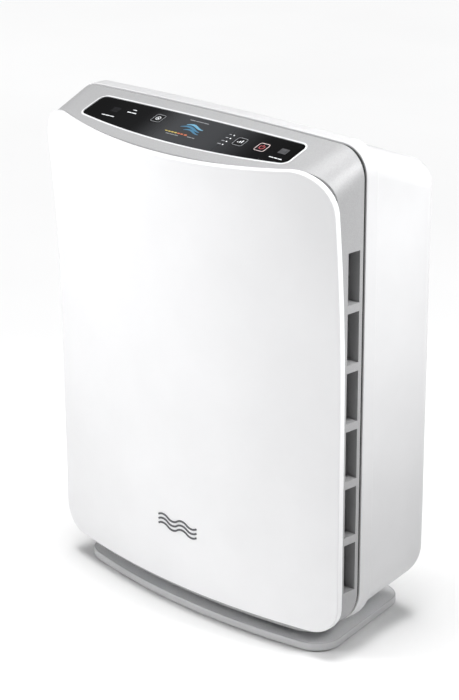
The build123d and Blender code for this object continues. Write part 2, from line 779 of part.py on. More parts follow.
with BuildPart() as stud_sockets:
    for level in stud_places:
        mouth = stud_face(level) + panel_edge + panel_clearance + 3.0
        length = stud_reach + 1.0
        seat = front_plane(mouth + length)
        add(rods(seat, length, socket_radius - thread_fit, both_sides([level])))
        bore = rods(seat.offset(1.5), length, stud_radius + stud_clearance, both_sides([level]))
        add(bore, mode=Mode.SUBTRACT)
stud_sockets.part.label = "stud_sockets"
export_step(stud_sockets.part, "parts/stud_sockets.step")

# ---- control deck ----------------------------------------------------------------------------
with BuildPart() as control_lens:
    add(deck_layer(lens_outline(0), lens_drop, lens_seat))
    for x, y in key_places.values():
        opening = key_size + 2 * key_gap
        hole = deck_rectangle((x, y), (opening, opening), key_radius + key_gap)
        extrude(hole, amount=20.0, both=True, mode=Mode.SUBTRACT)
    for centre in (sensor_centre, remote_centre):
        extrude(deck_rectangle(centre, window_size), amount=20.0, both=True, mode=Mode.SUBTRACT)
control_lens.part.label = "control_lens"
export_step(control_lens.part, "parts/control_lens.step")

with BuildPart() as lens_trim:
    add(deck_layer(lens_outline(trim_width), -trim_proud, lens_seat))
    extrude(lens_outline(0), amount=20.0, both=True, mode=Mode.SUBTRACT)
lens_trim.part.label = "lens_trim"
export_step(lens_trim.part, "parts/lens_trim.step")

with BuildPart() as sensor_window:
    add(deck_layer(deck_rectangle(sensor_centre, window_size), lens_drop + 0.1, lens_seat + 0.5))
sensor_window.part.label = "sensor_window"
export_step(sensor_window.part, "parts/sensor_window.step")

with BuildPart() as remote_window:
    add(deck_layer(deck_rectangle(remote_centre, window_size), lens_drop + 0.1, lens_seat + 0.5))
remote_window.part.label = "remote_window"
export_step(remote_window.part, "parts/remote_window.step")

for name, (x, y) in key_places.items():
    with BuildPart() as key:
        add(deck_layer(deck_rectangle((x, y), (key_size, key_size), key_radius), lens_drop, lens_seat))
        web = deck_rectangle((x, y), (key_size, key_size), key_radius)
        extrude(web.moved(Location(-1.5 * deck_up)), amount=-(key_flange_top - 1.5))
        flange_size = key_size + 2 * key_flange
        flange = deck_rectangle((x, y), (flange_size, flange_size), key_radius)
        extrude(flange.moved(Location(-key_flange_top * deck_up)), amount=-key_flange_thickness)
        add(rods(deck_plane.offset(-key_stem), key_stem - key_flange_top, 2.5, [(x, y)]))
    key.part.label = name
    export_step(key.part, f"parts/{name}.step")

with BuildPart() as control_board:
    board = deck_rectangle((0, board_along), (2 * (lens_half - board_end_gap), board_width), 3.0)
    extrude(board.moved(Location(-board_drop * deck_up)), amount=-board_thickness)
    with BuildSketch(deck_plane.offset(-board_drop - board_thickness)):
        with Locations((-90.0, -45.0), (-20.0, -48.0), (60.0, -50.0)):
            RectangleRounded(14.0, 14.0, 0.5)
    extrude(amount=-1.8)
    through = screw_holes(deck_plane.offset(-board_drop - 5.0), 10.0, board_post_deck_places)
    add(through, mode=Mode.SUBTRACT)
control_board.part.label = "control_board"
export_step(control_board.part, "parts/control_board.step")

with BuildPart() as board_screws:
    seats = [(x, -y) for x, y in board_post_deck_places]
    add(screws(board_under, board_thickness + 6.0, seats))
    add(screws(Plane.XY.offset(power_board_z + board_thickness), board_thickness + 6.0, board_post_places))
board_screws.part.label = "board_screws"
export_step(board_screws.part, "parts/board_screws.step")

with BuildPart() as tact_switches:
    with BuildSketch(deck_plane.offset(-board_drop)):
        with Locations(*key_places.values()):
            Rectangle(6.0, 6.0)
    extrude(amount=switch_height)
    plungers = rods(deck_plane.offset(-board_drop + switch_height), plunger_height, 1.7, key_places.values())
    add(plungers)
tact_switches.part.label = "tact_switches"
export_step(tact_switches.part, "parts/tact_switches.step")

with BuildPart() as display_module:
    size = (display_size[0] - 1.0, display_size[1] - 1.0)
    module = deck_rectangle(display_centre, size, 0.8)
    extrude(module.moved(Location(-board_drop * deck_up)), amount=board_drop - 4.2)
display_module.part.label = "display_module"
export_step(display_module.part, "parts/display_module.step")

# ---- front panel -----------------------------------------------------------------------------------
with BuildPart() as front_panel:
    add(panel_block(0, panel_edge, 0))
    fillet(front_panel.faces().sort_by(Axis.Y)[0].edges(), panel_crease)
    add(panel_block(panel_skin, panel_edge + 1.0, panel_skin), mode=Mode.SUBTRACT)
    with BuildPart(mode=Mode.PRIVATE) as backing:
        rib_count = int((panel_high - rib_head - rib_lowest) // rib_pitch) + 1
        for z in [rib_lowest + rib_pitch * n for n in range(rib_count)]:
            low, high = z - rib_thickness / 2, z + rib_thickness / 2
            span_box((-panel_half + 1.0, -far, low), (panel_half - 1.0, far, high))
        for level in stud_places:
            add(rods(front_plane(0), far, stud_radius + 3.0, both_sides([level])))
        add(bowed_slab(panel_skin / 2, panel_edge - 0.4), mode=Mode.INTERSECT)
    add(backing.part)
    for level in stud_places:
        root = front_plane(0)
        depth = -stud_face(level) - panel_skin - 0.5
        add(rods(root, depth, stud_radius, both_sides([level])), mode=Mode.SUBTRACT)
front_panel.part.label = "front_panel"
export_step(front_panel.part, "parts/front_panel.step")

with BuildPart() as panel_studs:
    for level in stud_places:
        root_y = stud_face(level) + panel_skin + 0.5
        tip_y = stud_face(level) + panel_edge + panel_clearance + 3.0 + stud_reach - 1.5
        add(rods(front_plane(tip_y), tip_y - root_y, stud_radius, both_sides([level])))
        with BuildSketch(front_plane(tip_y - 4.0)):
            with Locations(*both_sides([level])):
                Circle(stud_radius)
                Circle(stud_radius - 0.7, mode=Mode.SUBTRACT)
        extrude(amount=2.0, mode=Mode.SUBTRACT)
    fillet(panel_studs.edges().group_by(Axis.Y)[-1], 1.5)
panel_studs.part.label = "panel_studs"
export_step(panel_studs.part, "parts/panel_studs.step")

badge_z = 107.0
badge_wave = 15.0  # length of half a wave
badge_height = 2.4
badge_line = 2.2
badge_pitch = 5.4
with BuildPart() as panel_badge:
    with BuildSketch(Plane.XZ) as waves:
        for row in (-1, 0, 1):
            z = badge_z + row * badge_pitch
            with BuildLine():
                for half_wave in range(4):
                    start = (half_wave - 2) * badge_wave
                    rise = badge_height if half_wave % 2 == 0 else -badge_height
                    ThreePointArc((start, z), (start + badge_wave / 2, z + rise), (start + badge_wave, z))
            trace(line_width=badge_line)
    extrude(amount=far, both=True)
    add(bowed_slab(-0.5, 0), mode=Mode.INTERSECT)
panel_badge.part.label = "panel_badge"
export_step(panel_badge.part, "parts/panel_badge.step")

with BuildPart() as interlock_magnet:
    span_box((-7.0, -far, stud_high - 4.0), (7.0, 0, stud_high + 4.0))
    add(bowed_slab(panel_skin, panel_skin + 4.0), mode=Mode.INTERSECT)
interlock_magnet.part.label = "interlock_magnet"
export_step(interlock_magnet.part, "parts/interlock_magnet.step")

with BuildPart() as reed_switch:
    span_box((-9.0, -far, stud_high - 3.0), (9.0, 0, stud_high + 3.0))
    wall_rear = panel_edge + panel_clearance + housing_wall
    add(bowed_slab(wall_rear, wall_rear + 4.0), mode=Mode.INTERSECT)
reed_switch.part.label = "reed_switch"
export_step(reed_switch.part, "parts/reed_switch.step")

# ---- filter bay and filters ------------------------------------------------------------------------------
guard_bar = 2.2
guard_inner = 20.0
guard_outer = fan_inlet_radius + 3.0
guard_rings = [guard_inner + (guard_outer - guard_inner) * n / 4 for n in range(5)]


def fan_plane(y):
    """Forward-facing plane at depth y, centred on the fan's axis."""
    return Plane(origin=(0, y, fan_z), x_dir=(1, 0, 0), z_dir=(0, -1, 0))


def bay_rectangle(gap):
    """Size of a filter that clears the bay by gap on every side."""
    return 2 * (bay_half - gap), bay_high - bay_low - 2 * gap


bay_middle = (0.0, (bay_low + bay_high) / 2)

with BuildPart() as filter_bay:
    outer = bay_half + bay_wall
    span_box((-outer, bulkhead_rear_y, bay_low - bay_wall), (outer, bay_rear_y, bay_high + bay_wall))
    wide = bay_half + bay_flange
    flange_low = (-wide, bulkhead_rear_y, bay_low - bay_wall)
    span_box(flange_low, (wide, bulkhead_rear_y + bay_wall, bay_high + bay_wall))
    inner = (bay_half, bay_rear_y - bay_wall, bay_high)
    span_box((-bay_half, -far, bay_low), inner, mode=Mode.SUBTRACT)
    inlet_ring = fan_plane(bay_rear_y + fan_front_gap - 2.0)
    add(rods(inlet_ring, fan_front_gap, fan_inlet_radius + bay_wall, [(0, 0)]))
    add(rods(fan_plane(far), 2 * far, fan_inlet_radius, [(0, 0)]), mode=Mode.SUBTRACT)
    add(screw_holes(front_plane(far), 2 * far, bay_screw_places), mode=Mode.SUBTRACT)
filter_bay.part.label = "filter_bay"
export_step(filter_bay.part, "parts/filter_bay.step")

with BuildPart() as inlet_guard:
    with BuildSketch(fan_plane(bay_rear_y - bay_wall)):
        for radius in guard_rings:
            Circle(radius)
            Circle(radius - guard_bar, mode=Mode.SUBTRACT)
        with PolarLocations((guard_rings[0] + guard_rings[-1]) / 2 - 1.0, 6):
            Rectangle(guard_rings[-1] - guard_rings[0], guard_bar)
    extrude(amount=2.2)
inlet_guard.part.label = "inlet_guard"
export_step(inlet_guard.part, "parts/inlet_guard.step")

with BuildPart() as bay_screws:
    add(screws(rear_plane(bulkhead_rear_y + bay_wall), bay_wall + bulkhead, bay_screw_places))
bay_screws.part.label = "bay_screws"
export_step(bay_screws.part, "parts/bay_screws.step")

filter_size = bay_rectangle(filter_side_gap)
filter_opening = tuple(side - 2 * filter_border for side in filter_size)


def filter_frame(front_y, thickness):
    """Rectangular filter frame from front_y back by thickness."""
    with BuildPart() as frame:
        with BuildSketch(front_plane(front_y + thickness)):
            with Locations(bay_middle):
                Rectangle(*filter_size)
                Rectangle(*filter_opening, mode=Mode.SUBTRACT)
        extrude(amount=thickness)
    return frame.part


with BuildPart() as prefilter_frame:
    add(filter_frame(prefilter_y, prefilter_thickness))
    with BuildSketch(front_plane(prefilter_y + 2.0)):
        with Locations(bay_middle):
            with GridLocations(filter_opening[0] / 8, 0, 7, 1):
                Rectangle(2.0, filter_opening[1] + 1.0)
            with GridLocations(0, filter_opening[1] / 8, 1, 7):
                Rectangle(filter_opening[0] + 1.0, 2.0)
    extrude(amount=2.0)
prefilter_frame.part.label = "prefilter_frame"
export_step(prefilter_frame.part, "parts/prefilter_frame.step")

with BuildPart() as prefilter_mesh:
    with BuildSketch(front_plane(prefilter_y + 2.8)):
        with Locations(bay_middle):
            Rectangle(*filter_opening)
    extrude(amount=0.8)
prefilter_mesh.part.label = "prefilter_mesh"
export_step(prefilter_mesh.part, "parts/prefilter_mesh.step")

with BuildPart() as carbon_frame:
    add(filter_frame(carbon_y, carbon_thickness))
carbon_frame.part.label = "carbon_frame"
export_step(carbon_frame.part, "parts/carbon_frame.step")

with BuildPart() as carbon_media:
    with BuildSketch(front_plane(carbon_y + carbon_thickness - 1.0)):
        with Locations(bay_middle):
            Rectangle(*filter_opening)
    extrude(amount=carbon_thickness - 2.0)
carbon_media.part.label = "carbon_media"
export_step(carbon_media.part, "parts/carbon_media.step")

with BuildPart() as hepa_frame:
    add(filter_frame(hepa_y, hepa_thickness))
    tab_places = [(side * 60.0, bay_high - filter_side_gap - filter_border - 9.0) for side in (1, -1)]
    with BuildSketch(front_plane(hepa_y + 1.5)):
        with Locations(*tab_places):
            Rectangle(22.0, 20.0)
    extrude(amount=1.5)
hepa_frame.part.label = "hepa_frame"
export_step(hepa_frame.part, "parts/hepa_frame.step")

pleat_count = 36
pleat_depth = hepa_thickness - 6.0
pleat_pitch = filter_opening[0] / pleat_count
pleat_paper = 0.9
with BuildPart() as hepa_pleats:
    with BuildSketch(Plane.XY.offset(bay_middle[1] - filter_opening[1] / 2)):
        front_y, rear_y = hepa_y + 3.0, hepa_y + 3.0 + pleat_depth
        folds = [
            (-filter_opening[0] / 2 + pleat_pitch * (n / 2), front_y if n % 2 == 0 else rear_y - pleat_paper)
            for n in range(2 * pleat_count + 1)
        ]
        with BuildLine():
            Polyline(*folds)
            Polyline(*[(x, y + pleat_paper) for x, y in folds])
            Line(folds[0], (folds[0][0], folds[0][1] + pleat_paper))
            Line(folds[-1], (folds[-1][0], folds[-1][1] + pleat_paper))
        make_face()
    extrude(amount=filter_opening[1])
hepa_pleats.part.label = "hepa_pleats"
export_step(hepa_pleats.part, "parts/hepa_pleats.step")

# ---- fan, scroll and motor ---------------------------------------------------------------
def scroll_point(angle, extra):
    """Point of the scroll wall at an angle from the fan's axis, moved out by extra."""
    share = (tongue_angle - angle) / (tongue_angle + 180.0)
    radius = scroll_start_radius + (scroll_end_radius - scroll_start_radius) * share + extra
    return radius * cos(radians(angle)), radius * sin(radians(angle))


def scroll_outline(y, extra, tongue):
    """Section of the scroll and its outlet duct, grown by extra. tongue is where the spiral starts."""
    turns = [scroll_point(tongue + (-180.0 - tongue) * step / 8, extra) for step in range(9)]
    side = outlet_half + extra
    flare_end = (side, turns[0][1] + 75.0)
    with BuildSketch(fan_plane(y)) as outline:
        with BuildLine():
            Spline(*turns)
            Polyline(turns[-1], (turns[-1][0], far + 50.0), (side, far + 50.0), flare_end, turns[0])
        make_face()
    return outline.sketch


lug_angles = (15.0, -35.0, -85.0, -135.0)
lug_offset = screw_head_radius + 0.6
lug_places = [scroll_point(angle, scroll_wall + lug_offset) for angle in lug_angles]
lug_depth = 8.0
lug_radius = lug_offset + 3.5
motor_screw_circle = (motor_radius + motor_flange_radius) / 2
motor_screw_places = [
    (motor_screw_circle * cos(radians(angle)), fan_z + motor_screw_circle * sin(radians(angle)))
    for angle in (45, 135, 225, 315)
]

with BuildPart() as scroll_housing:
    outer = scroll_outline(scroll_rear_y + scroll_wall, scroll_wall, tongue_angle - 3.0)
    extrude(outer, amount=scroll_depth + scroll_wall)
    inner = scroll_outline(scroll_rear_y, 0, tongue_angle)
    extrude(inner, amount=scroll_depth, mode=Mode.SUBTRACT)
    with BuildPart(mode=Mode.PRIVATE) as lugs:
        add(rods(fan_plane(bay_rear_y + lug_depth), lug_depth, lug_radius, lug_places))
        extrude(scroll_outline(far, scroll_wall / 2, tongue_angle - 1.0), amount=2 * far, mode=Mode.SUBTRACT)
    add(lugs.part)
    add(shell_block(shell_wall + scroll_clearance), mode=Mode.INTERSECT)
    with BuildPart(mode=Mode.PRIVATE) as grille_room:
        with BuildSketch(grille_plane):
            Rectangle(2 * grille_half, grille_depth)
        extrude(amount=25.0, both=True)
        add(shell_block(0.5 + grille_thickness + scroll_clearance), mode=Mode.SUBTRACT)
    add(grille_room.part, mode=Mode.SUBTRACT)
    boss_reach = shell_rear_y - shell_wall - scroll_rear_y
    add(rods(rear_plane(scroll_rear_y), boss_reach, cover_boss_radius, cover_screw_places))
    add(rods(fan_plane(far), 2 * far, motor_radius + 1.0, [(0, 0)]), mode=Mode.SUBTRACT)
    add(screw_holes(fan_plane(bay_rear_y + lug_depth), lug_depth, lug_places), mode=Mode.SUBTRACT)
    add(screw_holes(front_plane(far), 2 * far, cover_screw_places + motor_screw_places), mode=Mode.SUBTRACT)
scroll_housing.part.label = "scroll_housing"
export_step(scroll_housing.part, "parts/scroll_housing.step")

with BuildPart() as scroll_screws:
    seat = rear_plane(bay_rear_y + lug_depth)
    add(screws(seat, lug_depth, [(-x, z + fan_z) for x, z in lug_places]))
scroll_screws.part.label = "scroll_screws"
export_step(scroll_screws.part, "parts/scroll_screws.step")

with BuildPart() as rear_cover_screws:
    add(screws(rear_plane(cover_screw_seat_y), 9.0, cover_screw_places))
rear_cover_screws.part.label = "rear_cover_screws"
export_step(rear_cover_screws.part, "parts/rear_cover_screws.step")

hub_front_y = motor_front_y - 10.0
boss_front_y = hub_front_y - 9.0
with BuildPart() as fan_wheel:
    with BuildSketch(Plane.YZ):
        with BuildLine():
            Polyline(
                (boss_front_y, fan_z + shaft_radius),
                (boss_front_y, fan_z + boss_radius),
                (hub_front_y, fan_z + boss_radius + 3.0),
                (hub_front_y, fan_z + hub_radius - 8.0),
                (hub_front_y + 8.0, fan_z + hub_radius),
                (fan_rear_y - fan_plate, fan_z + hub_radius + 4.0),
                (fan_rear_y - fan_plate, fan_z + fan_radius),
                (fan_rear_y, fan_z + fan_radius),
                (fan_rear_y, fan_z + hub_radius + 1.0),
                (hub_front_y + 9.0, fan_z + hub_radius - hub_wall),
                (hub_front_y + hub_wall, fan_z + hub_radius - 10.0),
                (hub_front_y + hub_wall, fan_z + shaft_radius),
                close=True,
            )
        make_face()
    revolve(axis=Axis((0, 0, fan_z), (0, 1, 0)))
    with BuildSketch(mode=Mode.PRIVATE) as blade:
        inner_radius, middle_radius = fan_radius - blade_depth, fan_radius - blade_depth / 2
        with BuildLine():
            ThreePointArc((inner_radius, 0), (middle_radius, 4.0), (fan_radius - 0.5, 0))
            Line((fan_radius - 0.5, 0), (fan_radius - 0.5, blade_thickness))
            ThreePointArc(
                (fan_radius - 0.5, blade_thickness),
                (middle_radius, 4.0 + blade_thickness),
                (inner_radius, blade_thickness),
            )
            Line((inner_radius, blade_thickness), (inner_radius, 0))
        make_face()
    with BuildSketch(fan_plane(fan_rear_y - fan_plate / 2)):
        with PolarLocations(0, blade_count):
            add(blade.sketch)
    extrude(amount=fan_width - fan_plate / 2)
    with BuildSketch(fan_plane(fan_front_y + fan_plate)):
        Circle(fan_radius)
        Circle(fan_radius - blade_depth + 4.0, mode=Mode.SUBTRACT)
    extrude(amount=fan_plate)
fan_wheel.part.label = "fan_wheel"
export_step(fan_wheel.part, "parts/fan_wheel.step")

shaft_front_y = boss_front_y - 6.0
shaft_rear_y = motor_rear_y - 0.5
with BuildPart() as fan_shaft:
    add(rods(fan_plane(shaft_rear_y), shaft_rear_y - shaft_front_y, shaft_radius, [(0, 0)]))
    chamfer(fan_shaft.edges().group_by(Axis.Y)[0], 0.8)
fan_shaft.part.label = "fan_shaft"
export_step(fan_shaft.part, "parts/fan_shaft.step")

with BuildPart() as fan_nut:
    with BuildSketch(fan_plane(boss_front_y)):
        RegularPolygon(7.5, 6)
        Circle(shaft_radius, mode=Mode.SUBTRACT)
    extrude(amount=4.5)
fan_nut.part.label = "fan_nut"
export_step(fan_nut.part, "parts/fan_nut.step")

seat_wall = 3.0
shaft_hole = shaft_radius + 2.0
can_rear_y = motor_rear_y - cap_thickness
with BuildPart() as motor_can:
    add(rods(fan_plane(can_rear_y), can_rear_y - motor_front_y, motor_radius, [(0, 0)]))
    cavity_depth = can_rear_y - motor_front_y - motor_wall
    cavity = rods(fan_plane(can_rear_y), cavity_depth, motor_radius - motor_wall, [(0, 0)])
    add(cavity, mode=Mode.SUBTRACT)
    seat_rear = motor_front_y + motor_wall + bearing_width
    add(rods(fan_plane(seat_rear), bearing_width, bearing_radius + seat_wall, [(0, 0)]))
    add(rods(fan_plane(seat_rear), bearing_width, bearing_radius, [(0, 0)]), mode=Mode.SUBTRACT)
    add(rods(fan_plane(far), 2 * far, shaft_hole, [(0, 0)]), mode=Mode.SUBTRACT)
    with BuildSketch(fan_plane(scroll_rear_y)):
        Circle(motor_flange_radius)
        Circle(motor_radius, mode=Mode.SUBTRACT)
    extrude(amount=motor_flange)
    add(screw_holes(front_plane(scroll_rear_y), motor_flange, motor_screw_places), mode=Mode.SUBTRACT)
motor_can.part.label = "motor_can"
export_step(motor_can.part, "parts/motor_can.step")

with BuildPart() as motor_end_cap:
    add(rods(fan_plane(motor_rear_y), cap_thickness, motor_radius, [(0, 0)]))
    add(rods(fan_plane(can_rear_y), bearing_width, bearing_radius + seat_wall, [(0, 0)]))
    add(rods(fan_plane(can_rear_y), bearing_width, bearing_radius, [(0, 0)]), mode=Mode.SUBTRACT)
    add(rods(fan_plane(far), 2 * far, shaft_hole, [(0, 0)]), mode=Mode.SUBTRACT)
motor_end_cap.part.label = "motor_end_cap"
export_step(motor_end_cap.part, "parts/motor_end_cap.step")

with BuildPart() as motor_bearings:
    for rear in (motor_front_y + motor_wall + bearing_width, can_rear_y):
        with BuildSketch(fan_plane(rear)):
            Circle(bearing_radius)
            Circle(shaft_radius + shaft_fit, mode=Mode.SUBTRACT)
        extrude(amount=bearing_width)
motor_bearings.part.label = "motor_bearings"
export_step(motor_bearings.part, "parts/motor_bearings.step")

winding_front_y = motor_front_y + motor_wall + bearing_width + 1.0
winding_rear_y = can_rear_y - bearing_width - 1.0
with BuildPart() as motor_windings:
    with BuildSketch(fan_plane(winding_rear_y)):
        Circle(motor_radius - motor_wall)
        Circle(winding_inner_radius, mode=Mode.SUBTRACT)
    extrude(amount=winding_rear_y - winding_front_y)
motor_windings.part.label = "motor_windings"
export_step(motor_windings.part, "parts/motor_windings.step")

with BuildPart() as motor_magnets:
    with BuildSketch(fan_plane(winding_rear_y)):
        Circle(magnet_radius)
        Circle(shaft_radius, mode=Mode.SUBTRACT)
    extrude(amount=winding_rear_y - winding_front_y)
motor_magnets.part.label = "motor_magnets"
export_step(motor_magnets.part, "parts/motor_magnets.step")

with BuildPart() as motor_screws:
    seats = [(-x, z) for x, z in motor_screw_places]
    add(screws(rear_plane(scroll_rear_y + scroll_wall), scroll_wall + motor_flange, seats))
motor_screws.part.label = "motor_screws"
export_step(motor_screws.part, "parts/motor_screws.step")

# ---- power, ioniser and sensor -----------------------------------------------------------
with BuildPart() as power_board:
    top, front = power_board_z + board_thickness, power_board_front_y
    span_box((-power_board_half, front, power_board_z), (power_board_half, power_board_rear_y, top))
    span_box((-40.0, front + 12.0, top - 0.2), (-8.0, front + 40.0, top + 18.0))
    span_box((4.0, front + 10.0, top - 0.2), (20.0, front + 26.0, top + 12.0))
    add(rods(Plane.XY.offset(top - 0.2), 16.0, 6.0, [(35.0, front + 20.0), (35.0, front + 36.0)]))
    add(screw_holes(Plane.XY, far, board_post_places), mode=Mode.SUBTRACT)
power_board.part.label = "power_board"
export_step(power_board.part, "parts/power_board.step")

ioniser_low = bay_high - 14.0
with BuildPart() as ioniser_module:
    span_box((-35.0, bay_rear_y, ioniser_low), (35.0, bay_rear_y + 13.0, ioniser_low + 15.0))
    fillet(ioniser_module.edges().filter_by(Axis.X), 1.5)
    needle_places = both_sides([(20.0, bay_rear_y + 6.5)])
    add(rods(Plane.XY.offset(ioniser_low + 14.0), 7.0, 0.8, needle_places))
ioniser_module.part.label = "ioniser_module"
export_step(ioniser_module.part, "parts/ioniser_module.step")

with BuildPart() as dust_sensor:
    outer = -bay_half - bay_wall
    middle, half = bay_high - 68.0, 23.0
    span_box((outer - 14.0, -10.0, middle - half), (outer, 22.0, middle + half))
    add(rods(Plane.YZ.offset(outer - 6.0), -far, 6.0, [(6.0, middle)]), mode=Mode.SUBTRACT)
dust_sensor.part.label = "dust_sensor"
export_step(dust_sensor.part, "parts/dust_sensor.step")
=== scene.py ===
import json
from math import cos, pi, radians, sin, sqrt

import bmesh
import bpy
from mathutils import Matrix, Vector
from mathutils.bvhtree import BVHTree


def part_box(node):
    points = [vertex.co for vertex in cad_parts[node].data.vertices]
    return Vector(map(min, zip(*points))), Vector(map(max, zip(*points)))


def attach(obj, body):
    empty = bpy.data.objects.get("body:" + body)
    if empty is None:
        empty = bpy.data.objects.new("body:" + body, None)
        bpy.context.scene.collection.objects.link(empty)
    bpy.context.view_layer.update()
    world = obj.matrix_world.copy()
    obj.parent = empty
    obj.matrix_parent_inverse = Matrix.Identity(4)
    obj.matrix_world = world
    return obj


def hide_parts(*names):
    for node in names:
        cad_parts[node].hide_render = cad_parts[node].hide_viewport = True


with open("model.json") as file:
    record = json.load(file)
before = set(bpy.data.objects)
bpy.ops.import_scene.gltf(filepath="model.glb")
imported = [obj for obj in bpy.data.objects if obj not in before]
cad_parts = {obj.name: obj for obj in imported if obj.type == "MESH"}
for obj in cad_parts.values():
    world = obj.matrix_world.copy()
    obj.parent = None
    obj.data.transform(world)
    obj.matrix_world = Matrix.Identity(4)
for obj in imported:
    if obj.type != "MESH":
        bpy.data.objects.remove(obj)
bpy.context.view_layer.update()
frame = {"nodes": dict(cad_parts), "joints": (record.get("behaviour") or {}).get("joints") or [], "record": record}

# Room air purifier. Metres, in the CAD's own frame: X right, Y back, Z up, floor at 0.
MM = 0.001
nodes = frame["nodes"]
slot_of = {part["node"]: part["material_slot"] for part in frame["record"]["subparts"]}
body_of = {node: body for body, members in frame["record"]["behaviour"]["bodies"].items() for node in members}
joint_of = {joint["child"]: joint for joint in frame["joints"]}


# ---- camera -----------------------------------------------------------------------------
AZIMUTH, ELEVATION, ROLL = radians(44.08), radians(20.62), radians(-0.27)
CAMERA_PLACE = (1.5997, -1.6516, 1.1594)
LENS_MM = 113.18


def make_camera():
    """Camera at the viewing angle, slightly rolled."""
    back = Vector((sin(AZIMUTH) * cos(ELEVATION), -cos(AZIMUTH) * cos(ELEVATION), sin(ELEVATION)))
    level = (-back).cross(Vector((0, 0, 1))).normalized()
    upright = level.cross(-back)
    right = level * cos(ROLL) + upright * sin(ROLL)
    up = upright * cos(ROLL) - level * sin(ROLL)
    camera = bpy.data.objects.new("camera", bpy.data.cameras.new("camera"))
    camera.data.lens = LENS_MM
    camera.data.sensor_width = 36.0
    camera.data.clip_end = 60.0
    turn = Matrix((right, up, back)).transposed().to_4x4()
    camera.matrix_world = Matrix.Translation(CAMERA_PLACE) @ turn
    bpy.context.scene.collection.objects.link(camera)
    bpy.context.scene.camera = camera


make_camera()


# ---- how materials are put together --------------------------------------------------------
def linear(code):
    """An sRGB hex value as linear red, green, blue and alpha."""
    channels = [int(code[i:i + 2], 16) / 255 for i in (1, 3, 5)]
    return tuple(c / 12.92 if c <= 0.04045 else ((c + 0.055) / 1.055) ** 2.4 for c in channels) + (1.0,)


def add_node(tree, kind, values=None, links=None, **settings):
    """Adds a node with its options, the numbers on its sockets and the sources of its inputs."""
    node = tree.nodes.new(kind)
    for option, value in settings.items():
        setattr(node, option, value)
    for socket, value in (values or {}).items():
        node.inputs[socket].default_value = value
    for socket, source in (links or {}).items():
        tree.links.new(source, node.inputs[socket])
    return node


def start_material(name, code, roughness, **constants):
    """A material with its shader's constants set, and the object's own coordinates in metres."""
    material = bpy.data.materials.new(name)
    material.use_nodes = True
    tree = material.node_tree
    shader = tree.nodes["Principled BSDF"]
    shader.inputs["Base Color"].default_value = linear(code)
    shader.inputs["Roughness"].default_value = roughness
    for socket, value in constants.items():
        shader.inputs[socket.replace("_", " ")].default_value = value
    place = add_node(tree, "ShaderNodeTexCoord").outputs["Object"]
    return material, tree, shader, place


def vary_colour(tree, shader, place, dark, light, patch_mm, detail=3.0):
    """Colour that drifts between two shades over patches of the given size."""
    noise = add_node(
        tree, "ShaderNodeTexNoise", {"Scale": 1 / (patch_mm * MM), "Detail": detail}, {"Vector": place}
    )
    ramp = add_node(tree, "ShaderNodeValToRGB", links={"Fac": noise.outputs["Fac"]})
    ramp.color_ramp.elements[0].position = 0.3
    ramp.color_ramp.elements[1].position = 0.7
    ramp.color_ramp.elements[0].color = linear(dark)
    ramp.color_ramp.elements[1].color = linear(light)
    tree.links.new(ramp.outputs["Color"], shader.inputs["Base Color"])
    return noise


def vary_roughness(tree, shader, place, low, high, patch_mm):
    """Roughness that drifts between two values, as handling and the mould's polish leave it."""
    noise = add_node(
        tree, "ShaderNodeTexNoise", {"Scale": 1 / (patch_mm * MM), "Detail": 4.0}, {"Vector": place}
    )
    span = add_node(
        tree, "ShaderNodeMapRange", {"To Min": low, "To Max": high}, {"Value": noise.outputs["Fac"]}
    )
    tree.links.new(span.outputs["Result"], shader.inputs["Roughness"])


def bump(tree, shader, height, depth_mm, strength=1.0):
    """Relief of the given depth from a height between 0 and 1."""
    relief = add_node(
        tree, "ShaderNodeBump", {"Strength": strength, "Distance": depth_mm * MM}, {"Height": height}
    )
    tree.links.new(relief.outputs["Normal"], shader.inputs["Normal"])


def grain(tree, shader, place, grain_mm, depth_mm):
    """The fine leather-like grain of a spark-eroded mould."""
    noise = add_node(
        tree,
        "ShaderNodeTexNoise",
        {"Scale": 1 / (grain_mm * MM), "Detail": 2.0, "Roughness": 0.55},
        {"Vector": place},
    )
    bump(tree, shader, noise.outputs["Fac"], depth_mm)


# ---- materials ---------------------------------------------------------------------------------
def moulded_plastic(name, dark, light, roughness, grain_mm, depth_mm, **constants):
    """Injection-moulded plastic: nearly even colour, a slight drift of gloss and a fine mould grain."""
    material, tree, shader, place = start_material(name, light, roughness, **constants)
    vary_colour(tree, shader, place, dark, light, 90.0)
    vary_roughness(tree, shader, place, roughness * 0.9, roughness * 1.12, 35.0)
    grain(tree, shader, place, grain_mm, depth_mm)
    return material


def silver_lacquer(name, dark, light, roughness, metallic):
    """Sprayed metallic lacquer over ABS: aluminium flakes that glint a little under a satin clear coat."""
    flake_mm = 0.7  # real flakes are about 0.03 mm; drawn coarse enough to show
    material, tree, shader, place = start_material(
        name, light, roughness, Metallic=metallic, Coat_Weight=0.15, Coat_Roughness=0.35
    )
    flakes = add_node(
        tree, "ShaderNodeTexVoronoi", {"Scale": 1 / (flake_mm * MM)}, {"Vector": place}
    )
    tone = add_node(
        tree, "ShaderNodeSeparateColor", links={"Color": flakes.outputs["Color"]}
    )
    ramp = add_node(tree, "ShaderNodeValToRGB", links={"Fac": tone.outputs["Red"]})
    ramp.color_ramp.elements[0].color = linear(dark)
    ramp.color_ramp.elements[1].color = linear(light)
    tree.links.new(ramp.outputs["Color"], shader.inputs["Base Color"])
    vary_roughness(tree, shader, place, roughness * 0.92, roughness * 1.08, 20.0)
    grain(tree, shader, place, 0.9, 0.006)
    return material


